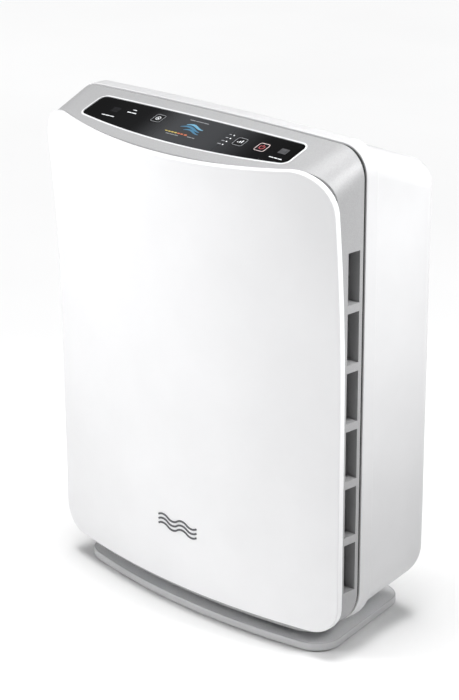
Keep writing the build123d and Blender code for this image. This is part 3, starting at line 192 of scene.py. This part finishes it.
def back_painted_acrylic():
    """Polished clear acrylic, painted black behind, lighter across the middle: partly a smoked field in front of the
    display, partly a painted reflection.
    """
    material, tree, shader, place = start_material(
        "acrylic_polished_back_painted", "#0b0b0c", 0.07, IOR=1.45
    )
    across = add_node(tree, "ShaderNodeSeparateXYZ", links={"Vector": place})
    half_length = 155 * MM  # of the lens
    ramp = add_node(
        tree,
        "ShaderNodeMapRange",
        {"From Min": -half_length, "From Max": half_length},
        {"Value": across.outputs["X"]},
    )
    tint = add_node(tree, "ShaderNodeValToRGB", links={"Fac": ramp.outputs["Result"]})
    tint.color_ramp.interpolation = "EASE"
    # Lighter grey across the middle, black at the ends: partly the smoked field over the display, partly a painted
    # reflection.
    smoke_and_reflection_stops = ((0.0, "#050505"), (0.27, "#0e0e0f"), (0.46, "#3a3b3d"), (0.6, "#37383a"), (0.86, "#0c0c0d"))
    for position, code in smoke_and_reflection_stops:
        element = tint.color_ramp.elements.new(position)
        element.color = linear(code)
    tint.color_ramp.elements.remove(tint.color_ramp.elements[0])
    tint.color_ramp.elements[-1].color = linear("#060606")
    tree.links.new(tint.outputs["Color"], shader.inputs["Base Color"])
    vary_roughness(tree, shader, place, 0.05, 0.1, 12.0)
    return material


def smoked_acrylic(name, dark, light):
    """Smoked acrylic over a sensor: dark, glossy, with a faint cloud in the tint."""
    material, tree, shader, place = start_material(name, light, 0.12, IOR=1.49)
    vary_colour(tree, shader, place, dark, light, 4.0)
    vary_roughness(tree, shader, place, 0.1, 0.16, 3.0)
    return material


def moulded_rubber():
    """Black moulded rubber: matt, slightly dusty, with a pebbled skin."""
    material, tree, shader, place = start_material("rubber_moulded", "#1c1c1d", 0.85, Specular_IOR_Level=0.3)
    vary_colour(tree, shader, place, "#161617", "#242425", 15.0)
    grain(tree, shader, place, 0.6, 0.03)
    return material


def zinc_plate():
    """Zinc-plated steel screws: cool grey metal with faint blue-yellow passivation and fine pits."""
    material, tree, shader, place = start_material("steel_zinc_plated", "#b9bbbd", 0.34, Metallic=1.0)
    vary_colour(tree, shader, place, "#a7aaad", "#c6c5bd", 2.5)
    vary_roughness(tree, shader, place, 0.26, 0.42, 1.5)
    grain(tree, shader, place, 0.25, 0.01)
    return material


def drawn_steel():
    """Drawn galvanised steel: draw lines along the pressing, and soft spangle."""
    material, tree, shader, place = start_material("steel_drawn_galvanised", "#a9abad", 0.38, Metallic=1.0)
    vary_colour(tree, shader, place, "#9a9da0", "#b7b8b9", 6.0)
    lines = add_node(
        tree, "ShaderNodeMapping", {"Scale": (1 / (0.4 * MM), 1 / (14 * MM), 1 / (0.4 * MM))}, {"Vector": place}
    )
    streak = add_node(tree, "ShaderNodeTexNoise", {"Scale": 1.0, "Detail": 2.0}, {"Vector": lines.outputs["Vector"]})
    span = add_node(
        tree, "ShaderNodeMapRange", {"To Min": 0.28, "To Max": 0.5}, {"Value": streak.outputs["Fac"]}
    )
    tree.links.new(span.outputs["Result"], shader.inputs["Roughness"])
    bump(tree, shader, streak.outputs["Fac"], 0.01)
    return material


def wound_copper():
    """Enamelled copper wire, wound in layers: the turns show as fine ridges under amber enamel."""
    material, tree, shader, place = start_material("copper_enamelled_wound", "#a8562a", 0.3, Metallic=1.0)
    vary_colour(tree, shader, place, "#8d4420", "#bb6835", 5.0)
    wire_mm = 0.9  # real wire is about 0.4 mm; drawn coarse enough to show
    turns = add_node(
        tree,
        "ShaderNodeTexWave",
        {"Scale": 0.5 / (wire_mm * MM) / pi, "Distortion": 1.5, "Detail": 1.0},
        {"Vector": place},
        bands_direction="Y",
    )
    bump(tree, shader, turns.outputs["Fac"], 0.2)
    return material


def solder_masked_board():
    """Glass-epoxy circuit board under green solder mask: tracks stand up as slightly lighter bands."""
    material, tree, shader, place = start_material("glass_epoxy_solder_masked", "#1f5a35", 0.35, IOR=1.5)
    tracks = add_node(
        tree,
        "ShaderNodeTexBrick",
        {"Scale": 1 / (6 * MM), "Mortar Size": 0.08, "Brick Width": 1.6, "Row Height": 0.4},
        {"Vector": place},
    )
    tracks.inputs["Color1"].default_value = linear("#1d5532")
    tracks.inputs["Color2"].default_value = linear("#245f3b")
    tracks.inputs["Mortar"].default_value = linear("#3c7d52")
    tree.links.new(tracks.outputs["Color"], shader.inputs["Base Color"])
    bump(tree, shader, tracks.outputs["Fac"], 0.04)
    return material


def pleated_paper():
    """Glass-fibre filter paper: matt, warm white, with short fibres and faint crinkles."""
    material, tree, shader, place = start_material(
        "paper_glass_fibre", "#efeee8", 0.95, Sheen_Weight=0.2, Sheen_Roughness=0.6
    )
    vary_colour(tree, shader, place, "#e2e0d7", "#f4f3ee", 4.0, 6.0)
    stretch = add_node(
        tree, "ShaderNodeMapping", {"Scale": (1 / (0.5 * MM), 1 / (0.5 * MM), 1 / (3.5 * MM))}, {"Vector": place}
    )
    fibre = add_node(tree, "ShaderNodeTexNoise", {"Scale": 1.0, "Detail": 5.0}, {"Vector": stretch.outputs["Vector"]})
    bump(tree, shader, fibre.outputs["Fac"], 0.12)
    return material


def carbon_granules():
    """Activated carbon: packed angular granules about 2 mm across, dull black with a few bright faces."""
    material, tree, shader, place = start_material("carbon_granules_packed", "#161617", 0.7)
    grains = add_node(tree, "ShaderNodeTexVoronoi", {"Scale": 1 / (2.0 * MM)}, {"Vector": place})
    tone = add_node(tree, "ShaderNodeSeparateColor", links={"Color": grains.outputs["Color"]})
    ramp = add_node(tree, "ShaderNodeValToRGB", links={"Fac": tone.outputs["Green"]})
    ramp.color_ramp.elements[0].color = linear("#0d0d0e")
    ramp.color_ramp.elements[1].color = linear("#2c2c2e")
    tree.links.new(ramp.outputs["Color"], shader.inputs["Base Color"])
    rough = add_node(tree, "ShaderNodeMapRange", {"To Min": 0.45, "To Max": 0.9}, {"Value": tone.outputs["Blue"]})
    tree.links.new(rough.outputs["Result"], shader.inputs["Roughness"])
    bump(tree, shader, grains.outputs["Distance"], 0.8)
    return material


def printed_ink(name, code, glow=0.0):
    """Screen-printed ink, or a legend lit from behind when it glows: even, with a faint mesh print."""
    material, tree, shader, place = start_material(
        name, code, 0.5, Emission_Color=linear(code), Emission_Strength=glow
    )
    mesh_mm = 0.5  # real print mesh is about 0.1 mm; drawn coarse enough to show
    noise = add_node(
        tree, "ShaderNodeTexNoise", {"Scale": 1 / (mesh_mm * MM), "Detail": 2.0}, {"Vector": place}
    )
    fade = add_node(tree, "ShaderNodeHueSaturation", {"Color": linear(code)})
    shade = add_node(
        tree, "ShaderNodeMapRange", {"To Min": 0.8, "To Max": 1.1}, {"Value": noise.outputs["Fac"]}
    )
    tree.links.new(shade.outputs["Result"], fade.inputs["Value"])
    tree.links.new(fade.outputs["Color"], shader.inputs["Base Color"])
    bump(tree, shader, noise.outputs["Fac"], 0.01)
    return material


def studio_floor():
    """Pale matt studio floor with a barely visible drift of tone."""
    material, tree, shader, place = start_material("floor_matt_paint", "#f6f6f6", 0.9, Specular_IOR_Level=0.1)
    vary_colour(tree, shader, place, "#f3f3f3", "#f8f8f8", 900.0)
    return material


ink_white = printed_ink("ink_white_screen_printed", "#d9dbdd", 0.25)
finishes = {
    "panel_gloss_white": moulded_plastic(
        "abs_moulded_polished_white", "#e6e6e7", "#eaeaeb", 0.3, 0.8, 0.002, Coat_Weight=0.25, Coat_Roughness=0.12
    ),
    "shell_white": moulded_plastic("abs_moulded_semigloss_white", "#cacacb", "#cfcfd0", 0.36, 0.9, 0.004),
    "silver_satin": silver_lacquer("lacquer_silver_sprayed_on_abs", "#9c9c9d", "#a5a5a6", 0.6, 0.2),
    "base_grey": silver_lacquer("lacquer_grey_sprayed_on_abs", "#e0e0e1", "#e7e7e8", 0.6, 0.05),
    "lens_black": back_painted_acrylic(),
    "window_tint": smoked_acrylic("acrylic_smoked", "#3c3c3e", "#525254"),
    "key_black": moulded_plastic("abs_gloss_black_key", "#101011", "#1a1a1b", 0.14, 1.2, 0.001),
    "trim_white": moulded_plastic("abs_moulded_white_trim", "#d4d5d7", "#dadbdc", 0.28, 0.8, 0.003),
    "badge_grey": moulded_plastic("abs_satin_dark_badge", "#4c4d50", "#56575a", 0.45, 0.5, 0.01),
    "black_abs": moulded_plastic("abs_textured_black", "#1b1b1c", "#252526", 0.55, 0.7, 0.03),
    "inner_grey": moulded_plastic("abs_unpainted_dark_grey", "#4b4c4e", "#565759", 0.6, 0.9, 0.03),
    "rubber": moulded_rubber(),
    "screw_steel": zinc_plate(),
    "motor_steel": drawn_steel(),
    "copper_winding": wound_copper(),
    "pcb_green": solder_masked_board(),
    "filter_frame_white": moulded_plastic(
        "polypropylene_moulded_white", "#e4e4e2", "#ebebe9", 0.5, 1.0, 0.02, Subsurface_Weight=0.05
    ),
    "filter_paper": pleated_paper(),
    "carbon_foam": carbon_granules(),
    "filter_net": moulded_plastic("nylon_net_extruded", "#5a5b5d", "#66676a", 0.5, 0.6, 0.02),
    "fan_grey": moulded_plastic("nylon_glass_filled_moulded", "#63656a", "#70737a", 0.55, 0.8, 0.03),
}

for node, piece in nodes.items():
    for material_slot in piece.material_slots:
        material_slot.material = finishes[slot_of[node]]
nodes["sensor_window"].material_slots[0].material = smoked_acrylic("acrylic_smoked_deep", "#161617", "#202022")


# ---- helpers for new pieces ------------------------------------------------------------------------
def make_piece(name, mesh_data, material, body, smooth=False):
    """A Blender object from a bmesh, finished, riding on a body."""
    data = bpy.data.meshes.new(name)
    bmesh.ops.recalc_face_normals(mesh_data, faces=mesh_data.faces)
    mesh_data.to_mesh(data)
    mesh_data.free()
    if smooth:
        data.polygons.foreach_set("use_smooth", [True] * len(data.polygons))
    data.materials.append(material)
    piece = bpy.data.objects.new(name, data)
    bpy.context.scene.collection.objects.link(piece)
    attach(piece, body)
    return piece


# ---- printed and lit legends on the deck --------------------------------------------------
deck_normal = -Vector(joint_of["mode_button"]["axis"]).normalized()
deck_back = Vector((0, deck_normal.z, -deck_normal.y))
rim_low, rim_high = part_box("rim_frame")
deck_origin = Vector((0, rim_low.y, rim_high.z))
surface_of = {}
INK_MM = 0.06
INK_LIFT_MM = 0.01  # clear of the face it is printed on
PROBE_HEIGHT = 30.0 * MM  # above the deck, where the search for a face starts
PROBE_MISS = 30.4 * MM  # down to the lens, beside its edge


def deck_hit(x, along, node):
    """Point of a node's top surface under a place on the deck, in mm across and along from the seam."""
    if node not in surface_of:
        data = nodes[node].data
        surface_of[node] = BVHTree.FromPolygons(
            [v.co for v in data.vertices], [tuple(p.vertices) for p in data.polygons]
        )
    start = deck_origin + Vector((x * MM, 0, 0)) + deck_back * (along * MM) + deck_normal * PROBE_HEIGHT
    hit = surface_of[node].ray_cast(start, -deck_normal)[0]
    return hit if hit is not None else start - deck_normal * PROBE_MISS


def legend(name, outlines, material, node):
    """Thin prints on a node's top face, from closed outlines in mm on the deck."""
    prints = bmesh.new()
    for outline in outlines:
        lows = [prints.verts.new(deck_hit(x, along, node) + deck_normal * INK_LIFT_MM * MM) for x, along in outline]
        highs = [prints.verts.new(v.co + deck_normal * INK_MM * MM) for v in lows]
        prints.faces.new(highs)
        prints.faces.new(lows[::-1])
        for n in range(len(lows)):
            after = (n + 1) % len(lows)
            prints.faces.new((lows[n], lows[after], highs[after], highs[n]))
    return make_piece(name, prints, material, body_of[node])


def bar(x, along, width, height, lean=0.0):
    """Outline of a small bar with its corners taken off, leaning by lean."""
    w, h, c = width / 2, height / 2, min(width, height) * 0.25
    corners = ((-w + c, -h), (w - c, -h), (w, -h + c), (w, h - c), (w - c, h), (-w + c, h), (-w, h - c), (-w, -h + c))
    return [(x + u + v * lean, along + v) for u, v in corners]


def disc(x, along, radius, sides=20):
    """Outline of a dot."""
    return [(x + radius * cos(2 * pi * n / sides), along + radius * sin(2 * pi * n / sides)) for n in range(sides)]


def arc_bands(x, along, radius, width, first, last, pieces=16):
    """A curved band as short outlines that meet, from one angle to another in degrees."""
    angles = [radians(first + (last - first) * n / pieces) for n in range(pieces + 1)]
    bands = []
    for a, b in zip(angles, angles[1:]):
        ends = [(radius - width / 2, a), (radius + width / 2, a), (radius + width / 2, b), (radius - width / 2, b)]
        bands.append([(x + r * cos(t), along + r * sin(t)) for r, t in ends])
    return bands


def rounded_square(x, along, size, radius, width):
    """Outline of a key as bands: four sides and four corners."""
    half = size / 2
    straight = size - 2 * radius
    bands = [bar(x, along + side * half, straight, width) for side in (1, -1)]
    bands += [bar(x + side * half, along, width, straight) for side in (1, -1)]
    inner = half - radius
    for sx, sy, start in ((1, 1, 0), (-1, 1, 90), (-1, -1, 180), (1, -1, 270)):
        bands += arc_bands(x + sx * inner, along + sy * inner, radius, width, start, start + 90, 5)
    return bands


def text_line(x, along, widths, height=1.1, gap=0.7):
    """A generic label: a row of bars as wide as short words, centred on x."""
    total = sum(widths) + gap * (len(widths) - 1)
    bars, left = [], x - total / 2
    for width in widths:
        bars.append(bar(left + width / 2, along, width, height))
        left += width + gap
    return bars


def wave_band(x, along, length, rise, width, phase=0.0, pieces=18):
    """A tapering wave as a strip of outlines: thick in the middle, fine at its ends."""
    outlines, previous = [], None
    for n in range(pieces + 1):
        t = n / pieces
        px = x + (t - 0.5) * length
        py = along + rise * sin(2 * pi * t * 0.75 + phase)
        thick = width * (0.25 + 0.75 * sin(pi * t))
        ends = ((px, py - thick / 2), (px, py + thick / 2))
        if previous:
            outlines.append([previous[0], ends[0], ends[1], previous[1]])
        previous = ends
    return outlines


def deck_place(node):
    """Centre of a node on the deck, in mm across and along from the seam."""
    low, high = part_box(node)
    middle = (low + high) / 2 - deck_origin
    return middle.x / MM, middle.dot(deck_back) / MM


blue = printed_ink("light_blue_backlit", "#34647f", 0.3)
cyan = printed_ink("light_cyan_backlit", "#5d8da6", 0.3)
amber = printed_ink("light_amber_backlit", "#b8a650", 0.25)
orange = printed_ink("light_orange_backlit", "#b0603c", 0.25)
red = printed_ink("light_red_backlit", "#a8484c", 0.2)
dim_white = printed_ink("ink_grey_screen_printed", "#8b8d90", 0.1)
rose_white = printed_ink("ink_pale_rose_screen_printed", "#d9c8c8", 0.3)


def make_legends():
    """All prints and lit signs of the control lens and its keys."""
    lens = "control_lens"
    sensor_x, sensor_along = deck_place("sensor_window")
    remote_x, remote_along = deck_place("remote_window")
    legend("sensor_label", text_line(sensor_x, sensor_along - 13.0, (5.0, 7.0, 6.0)), ink_white, lens)
    lamp_label = text_line(-90.0, -33.0, (5.5,)) + text_line(-90.0, -38.5, (6.0, 7.0), 1.3)
    legend("lamp_label", lamp_label, ink_white, lens)
    legend("remote_label", text_line(remote_x, remote_along - 13.5, (6.0, 4.5, 5.5)), ink_white, lens)
    legend("display_label", text_line(3.0, -27.0, (8.0, 11.0, 7.0), 0.9), dim_white, lens)
    streams = (
        (6.0, -37.0, 27.0, 2.6, 3.2, 0.3),
        (3.0, -41.5, 30.0, 2.8, 3.4, 0.0),
        (8.0, -46.0, 24.0, 2.4, 2.8, 0.2),
    )
    for n, stream in enumerate(streams):
        legend(f"air_stream_{n + 1}", wave_band(*stream), (cyan, blue, blue)[n], lens)
    scale = [bar(-22.0 + 4.6 * n, -53.5, 3.6, 1.2 + 0.15 * n) for n in range(6)]
    legend("air_scale_low", scale[:4], amber, lens)
    legend("air_scale_high", scale[4:] + [bar(6.5, -53.5, 4.0, 2.2)], orange, lens)
    ticks = text_line(-10.0, -57.5, (5.0, 6.5, 5.5), 0.9) + text_line(16.0, -55.5, (6.0, 4.0), 0.9)
    legend("air_scale_label", ticks, dim_white, lens)
    speeds = [-34.5 - 6.2 * n for n in range(4)]
    legend("speed_lamps", [disc(60.5, along, 0.9) for along in speeds], ink_white, lens)
    legend("speed_marks", [bar(55.5, along, 3.0 + 0.7 * n, 1.0) for n, along in enumerate(speeds)], dim_white, lens)
    key_size = 13.4
    for node, ink, symbol_ink in (
        ("mode_key", dim_white, ink_white),
        ("speed_key", dim_white, ink_white),
        ("power_key", rose_white, red),
    ):
        x, along = deck_place(node)
        legend(f"{node}_outline", rounded_square(x, along, key_size, 2.4, 0.6), ink, node)
        if node == "mode_key":
            symbol = arc_bands(x, along, 2.9, 0.7, 0, 360, 20) + [disc(x, along, 1.1)]
        elif node == "speed_key":
            symbol = [bar(x + 2.6 * step, along + 0.9 * step, 1.3, 3.2 + 1.8 * step) for step in (-1, 0, 1)]
        else:
            symbol = arc_bands(x, along, 3.1, 0.9, 125, 415) + [bar(x, along + 2.8, 0.9, 3.4)]
        legend(f"{node}_symbol", symbol, symbol_ink, node)


make_legends()


# ---- filters: net, cells and glue beads, seen when the panel is off -------------------------
def box_faces(mesh_data, low, high):
    """Adds a closed box between two corners to a mesh."""
    levels, depths, widths = ((low[axis], high[axis]) for axis in (2, 1, 0))
    corners = [mesh_data.verts.new((x, y, z)) for z in levels for y in depths for x in widths]
    for face in ((0, 2, 3, 1), (4, 5, 7, 6), (0, 1, 5, 4), (2, 6, 7, 3), (0, 4, 6, 2), (1, 3, 7, 5)):
        mesh_data.faces.new([corners[n] for n in face])


def make_net():
    """Extruded net of the pre-filter: upright strands behind, level strands welded across them."""
    low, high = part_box("prefilter_mesh")
    pitch, strand = 2.6 * MM, 0.55 * MM
    middle = (low.y + high.y) / 2
    net = bmesh.new()
    for n in range(int((high.x - low.x) / pitch)):
        x = low.x + pitch * (n + 0.5)
        box_faces(net, (x - strand / 2, middle - 0.05 * MM, low.z), (x + strand / 2, high.y, high.z))
    for n in range(int((high.z - low.z) / pitch)):
        z = low.z + pitch * (n + 0.5)
        box_faces(net, (low.x, low.y, z - strand / 2), (high.x, middle + 0.05 * MM, z + strand / 2))
    piece = make_piece("prefilter_net", net, finishes["filter_net"], "prefilter")
    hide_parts("prefilter_mesh")


def make_cells():
    """Honeycomb sheet that holds the carbon granules in, in front of the carbon."""
    low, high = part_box("carbon_media")
    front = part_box("carbon_frame")[0].y
    cell, wall = 9.0 * MM, 0.8 * MM
    step_x, step_z = cell * sqrt(3) / 2, cell * 0.75
    outer, inner = cell / 2, cell / 2 - wall / sqrt(3) * 1.2
    sheet = bmesh.new()
    near, rear = front + 0.3 * MM, low.y
    for row in range(int((high.z - low.z) / step_z)):
        z = low.z + step_z * (row + 0.75)
        for column in range(int((high.x - low.x) / step_x) - 1):
            x = low.x + step_x * (column + 0.75 + 0.5 * (row % 2))
            rings = []
            for y in (near, rear):
                for radius in (outer, inner):
                    spots = [(x + radius * sin(pi / 3 * k), y, z + radius * cos(pi / 3 * k)) for k in range(6)]
                    rings.append([sheet.verts.new(spot) for spot in spots])
            for k in range(6):
                after = (k + 1) % 6
                sheet.faces.new((rings[0][k], rings[0][after], rings[1][after], rings[1][k]))
                sheet.faces.new((rings[1][k], rings[1][after], rings[3][after], rings[3][k]))
                sheet.faces.new((rings[3][k], rings[3][after], rings[2][after], rings[2][k]))
    bmesh.ops.remove_doubles(sheet, verts=sheet.verts, dist=0.05 * MM)
    make_piece("carbon_cells", sheet, finishes["inner_grey"], "carbon_filter")


def make_beads():
    """Hot-melt beads that hold the pleats apart, laid level across their tips."""
    low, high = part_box("hepa_pleats")
    beads = bmesh.new()
    for n in range(6):
        z = low.z + (high.z - low.z) * (n + 0.5) / 6
        ring = []
        steps = 160
        for step in range(steps + 1):
            x = low.x + 1.0 * MM + (high.x - low.x - 2.0 * MM) * step / steps
            radius = (0.8 + 0.15 * sin(step * 1.7)) * MM
            turns = [2 * pi * k / 8 for k in range(8)]
            spots = [(x, low.y - 0.3 * MM + radius * cos(turn), z + radius * sin(turn)) for turn in turns]
            ring.append([beads.verts.new(spot) for spot in spots])
        for one, two in zip(ring, ring[1:]):
            for k in range(8):
                beads.faces.new((one[k], one[(k + 1) % 8], two[(k + 1) % 8], two[k]))
        beads.faces.new(ring[0])
        beads.faces.new(ring[-1][::-1])
    make_piece("pleat_beads", beads, finishes["filter_frame_white"], "hepa_filter", True)


make_net()
make_cells()
make_beads()


# ---- floor and light -----------------------------------------------------------------------
FLOOR_HALF = 14.0  # metres from the middle to each side
FLOOR_DROP = 0.2 * MM  # under the feet


def make_floor():
    """Plain pale floor, just under the feet."""
    floor = bmesh.new()
    corners = ((-1, -1), (1, -1), (1, 1), (-1, 1))
    floor.faces.new([floor.verts.new((FLOOR_HALF * x, FLOOR_HALF * y, -FLOOR_DROP)) for x, y in corners])
    data = bpy.data.meshes.new("floor")
    floor.to_mesh(data)
    floor.free()
    data.materials.append(studio_floor())
    piece = bpy.data.objects.new("floor", data)
    bpy.context.scene.collection.objects.link(piece)


def softbox(name, place, aim, size, power, spread):
    """Soft light at a place, facing a point and spreading by so many degrees."""
    light = bpy.data.lights.new(name, "AREA")
    light.shape = "RECTANGLE"
    light.size, light.size_y = size
    light.energy, light.spread = power, radians(spread)
    lamp = bpy.data.objects.new(name, light)
    lamp.location = place
    lamp.visible_camera = False
    lamp.rotation_euler = (Vector(aim) - Vector(place)).to_track_quat("-Z", "Y").to_euler()
    bpy.context.scene.collection.objects.link(lamp)


def make_light():
    """A wide bright ceiling, a key from the front left, a smaller light from the right, and a dim surround."""
    sky = bpy.data.lights.new("overhead", "SUN")
    sky.energy, sky.angle = 3.05, radians(30)
    lamp = bpy.data.objects.new("overhead", sky)
    lamp.rotation_euler = Vector((0, -0.06, 1)).to_track_quat("Z", "Y").to_euler()
    bpy.context.scene.collection.objects.link(lamp)
    softbox("key", (-0.9, -1.25, 1.15), (-0.04, -0.09, 0.53), (0.6, 0.6), 2.0, 48)
    softbox("side", (1.0, 0.3, 1.1), (0.21, 0.03, 0.45), (0.4, 0.4), 0.88, 36)
    world = bpy.data.worlds.new("studio")
    world.use_nodes = True
    surround = world.node_tree.nodes["Background"]
    surround.inputs["Color"].default_value = linear("#f4f5f7")
    surround.inputs["Strength"].default_value = 0.1
    bpy.context.scene.world = world
    bpy.context.scene.view_settings.view_transform = "Standard"


make_floor()
make_light()
